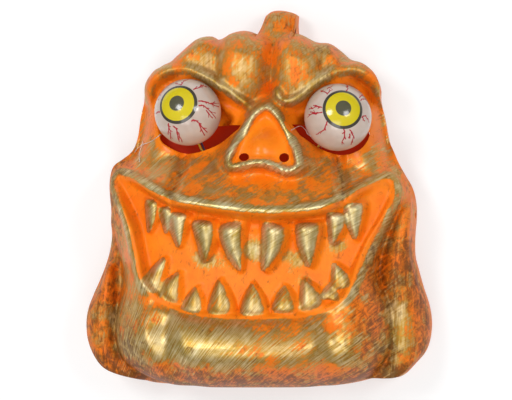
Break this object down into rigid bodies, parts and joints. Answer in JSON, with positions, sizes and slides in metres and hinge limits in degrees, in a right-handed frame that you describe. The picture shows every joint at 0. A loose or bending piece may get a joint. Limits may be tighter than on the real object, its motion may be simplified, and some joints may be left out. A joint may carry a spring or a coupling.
{
  "type": "light-up pumpkin mask",
  "caption": "Hollow moulded pumpkin face mask with a wide toothed grin and bulging light-up eyeballs, lying face up on its rim.",
  "frame": {"origin": "middle of the bounding box in X and Y, at the height of the rim's underside, which rests on the floor", "axes": "+X towards the viewer's right across the face, +Y up the face towards the stem, +Z out of the face"},
  "size_m": [0.216, 0.2368, 0.0939],
  "materials": {
    "mask_shell": "semi-gloss orange plastic brushed with gold paint",
    "eyeball": "glossy milky white plastic with a printed iris",
    "film": "dark red see-through sheet",
    "black_plastic": "matte moulded black",
    "switch": "pale grey slide",
    "yellow_wire": "soft yellow wire insulation",
    "blue_wire": "soft dark blue wire insulation",
    "red_wire": "soft red wire insulation"
  },
  "bodies": {
    "root": {"mask_shell": "mask_shell", "eyeball_left": "eyeball", "eyeball_right": "eyeball", "eye_film": "film", "battery_box": "black_plastic", "battery_cover": "black_plastic", "battery_switch": "switch", "lead_left_yellow": "yellow_wire", "lead_left_blue": "blue_wire", "lead_right_yellow": "yellow_wire", "lead_right_red": "red_wire"}
  },
  "joints": []
}
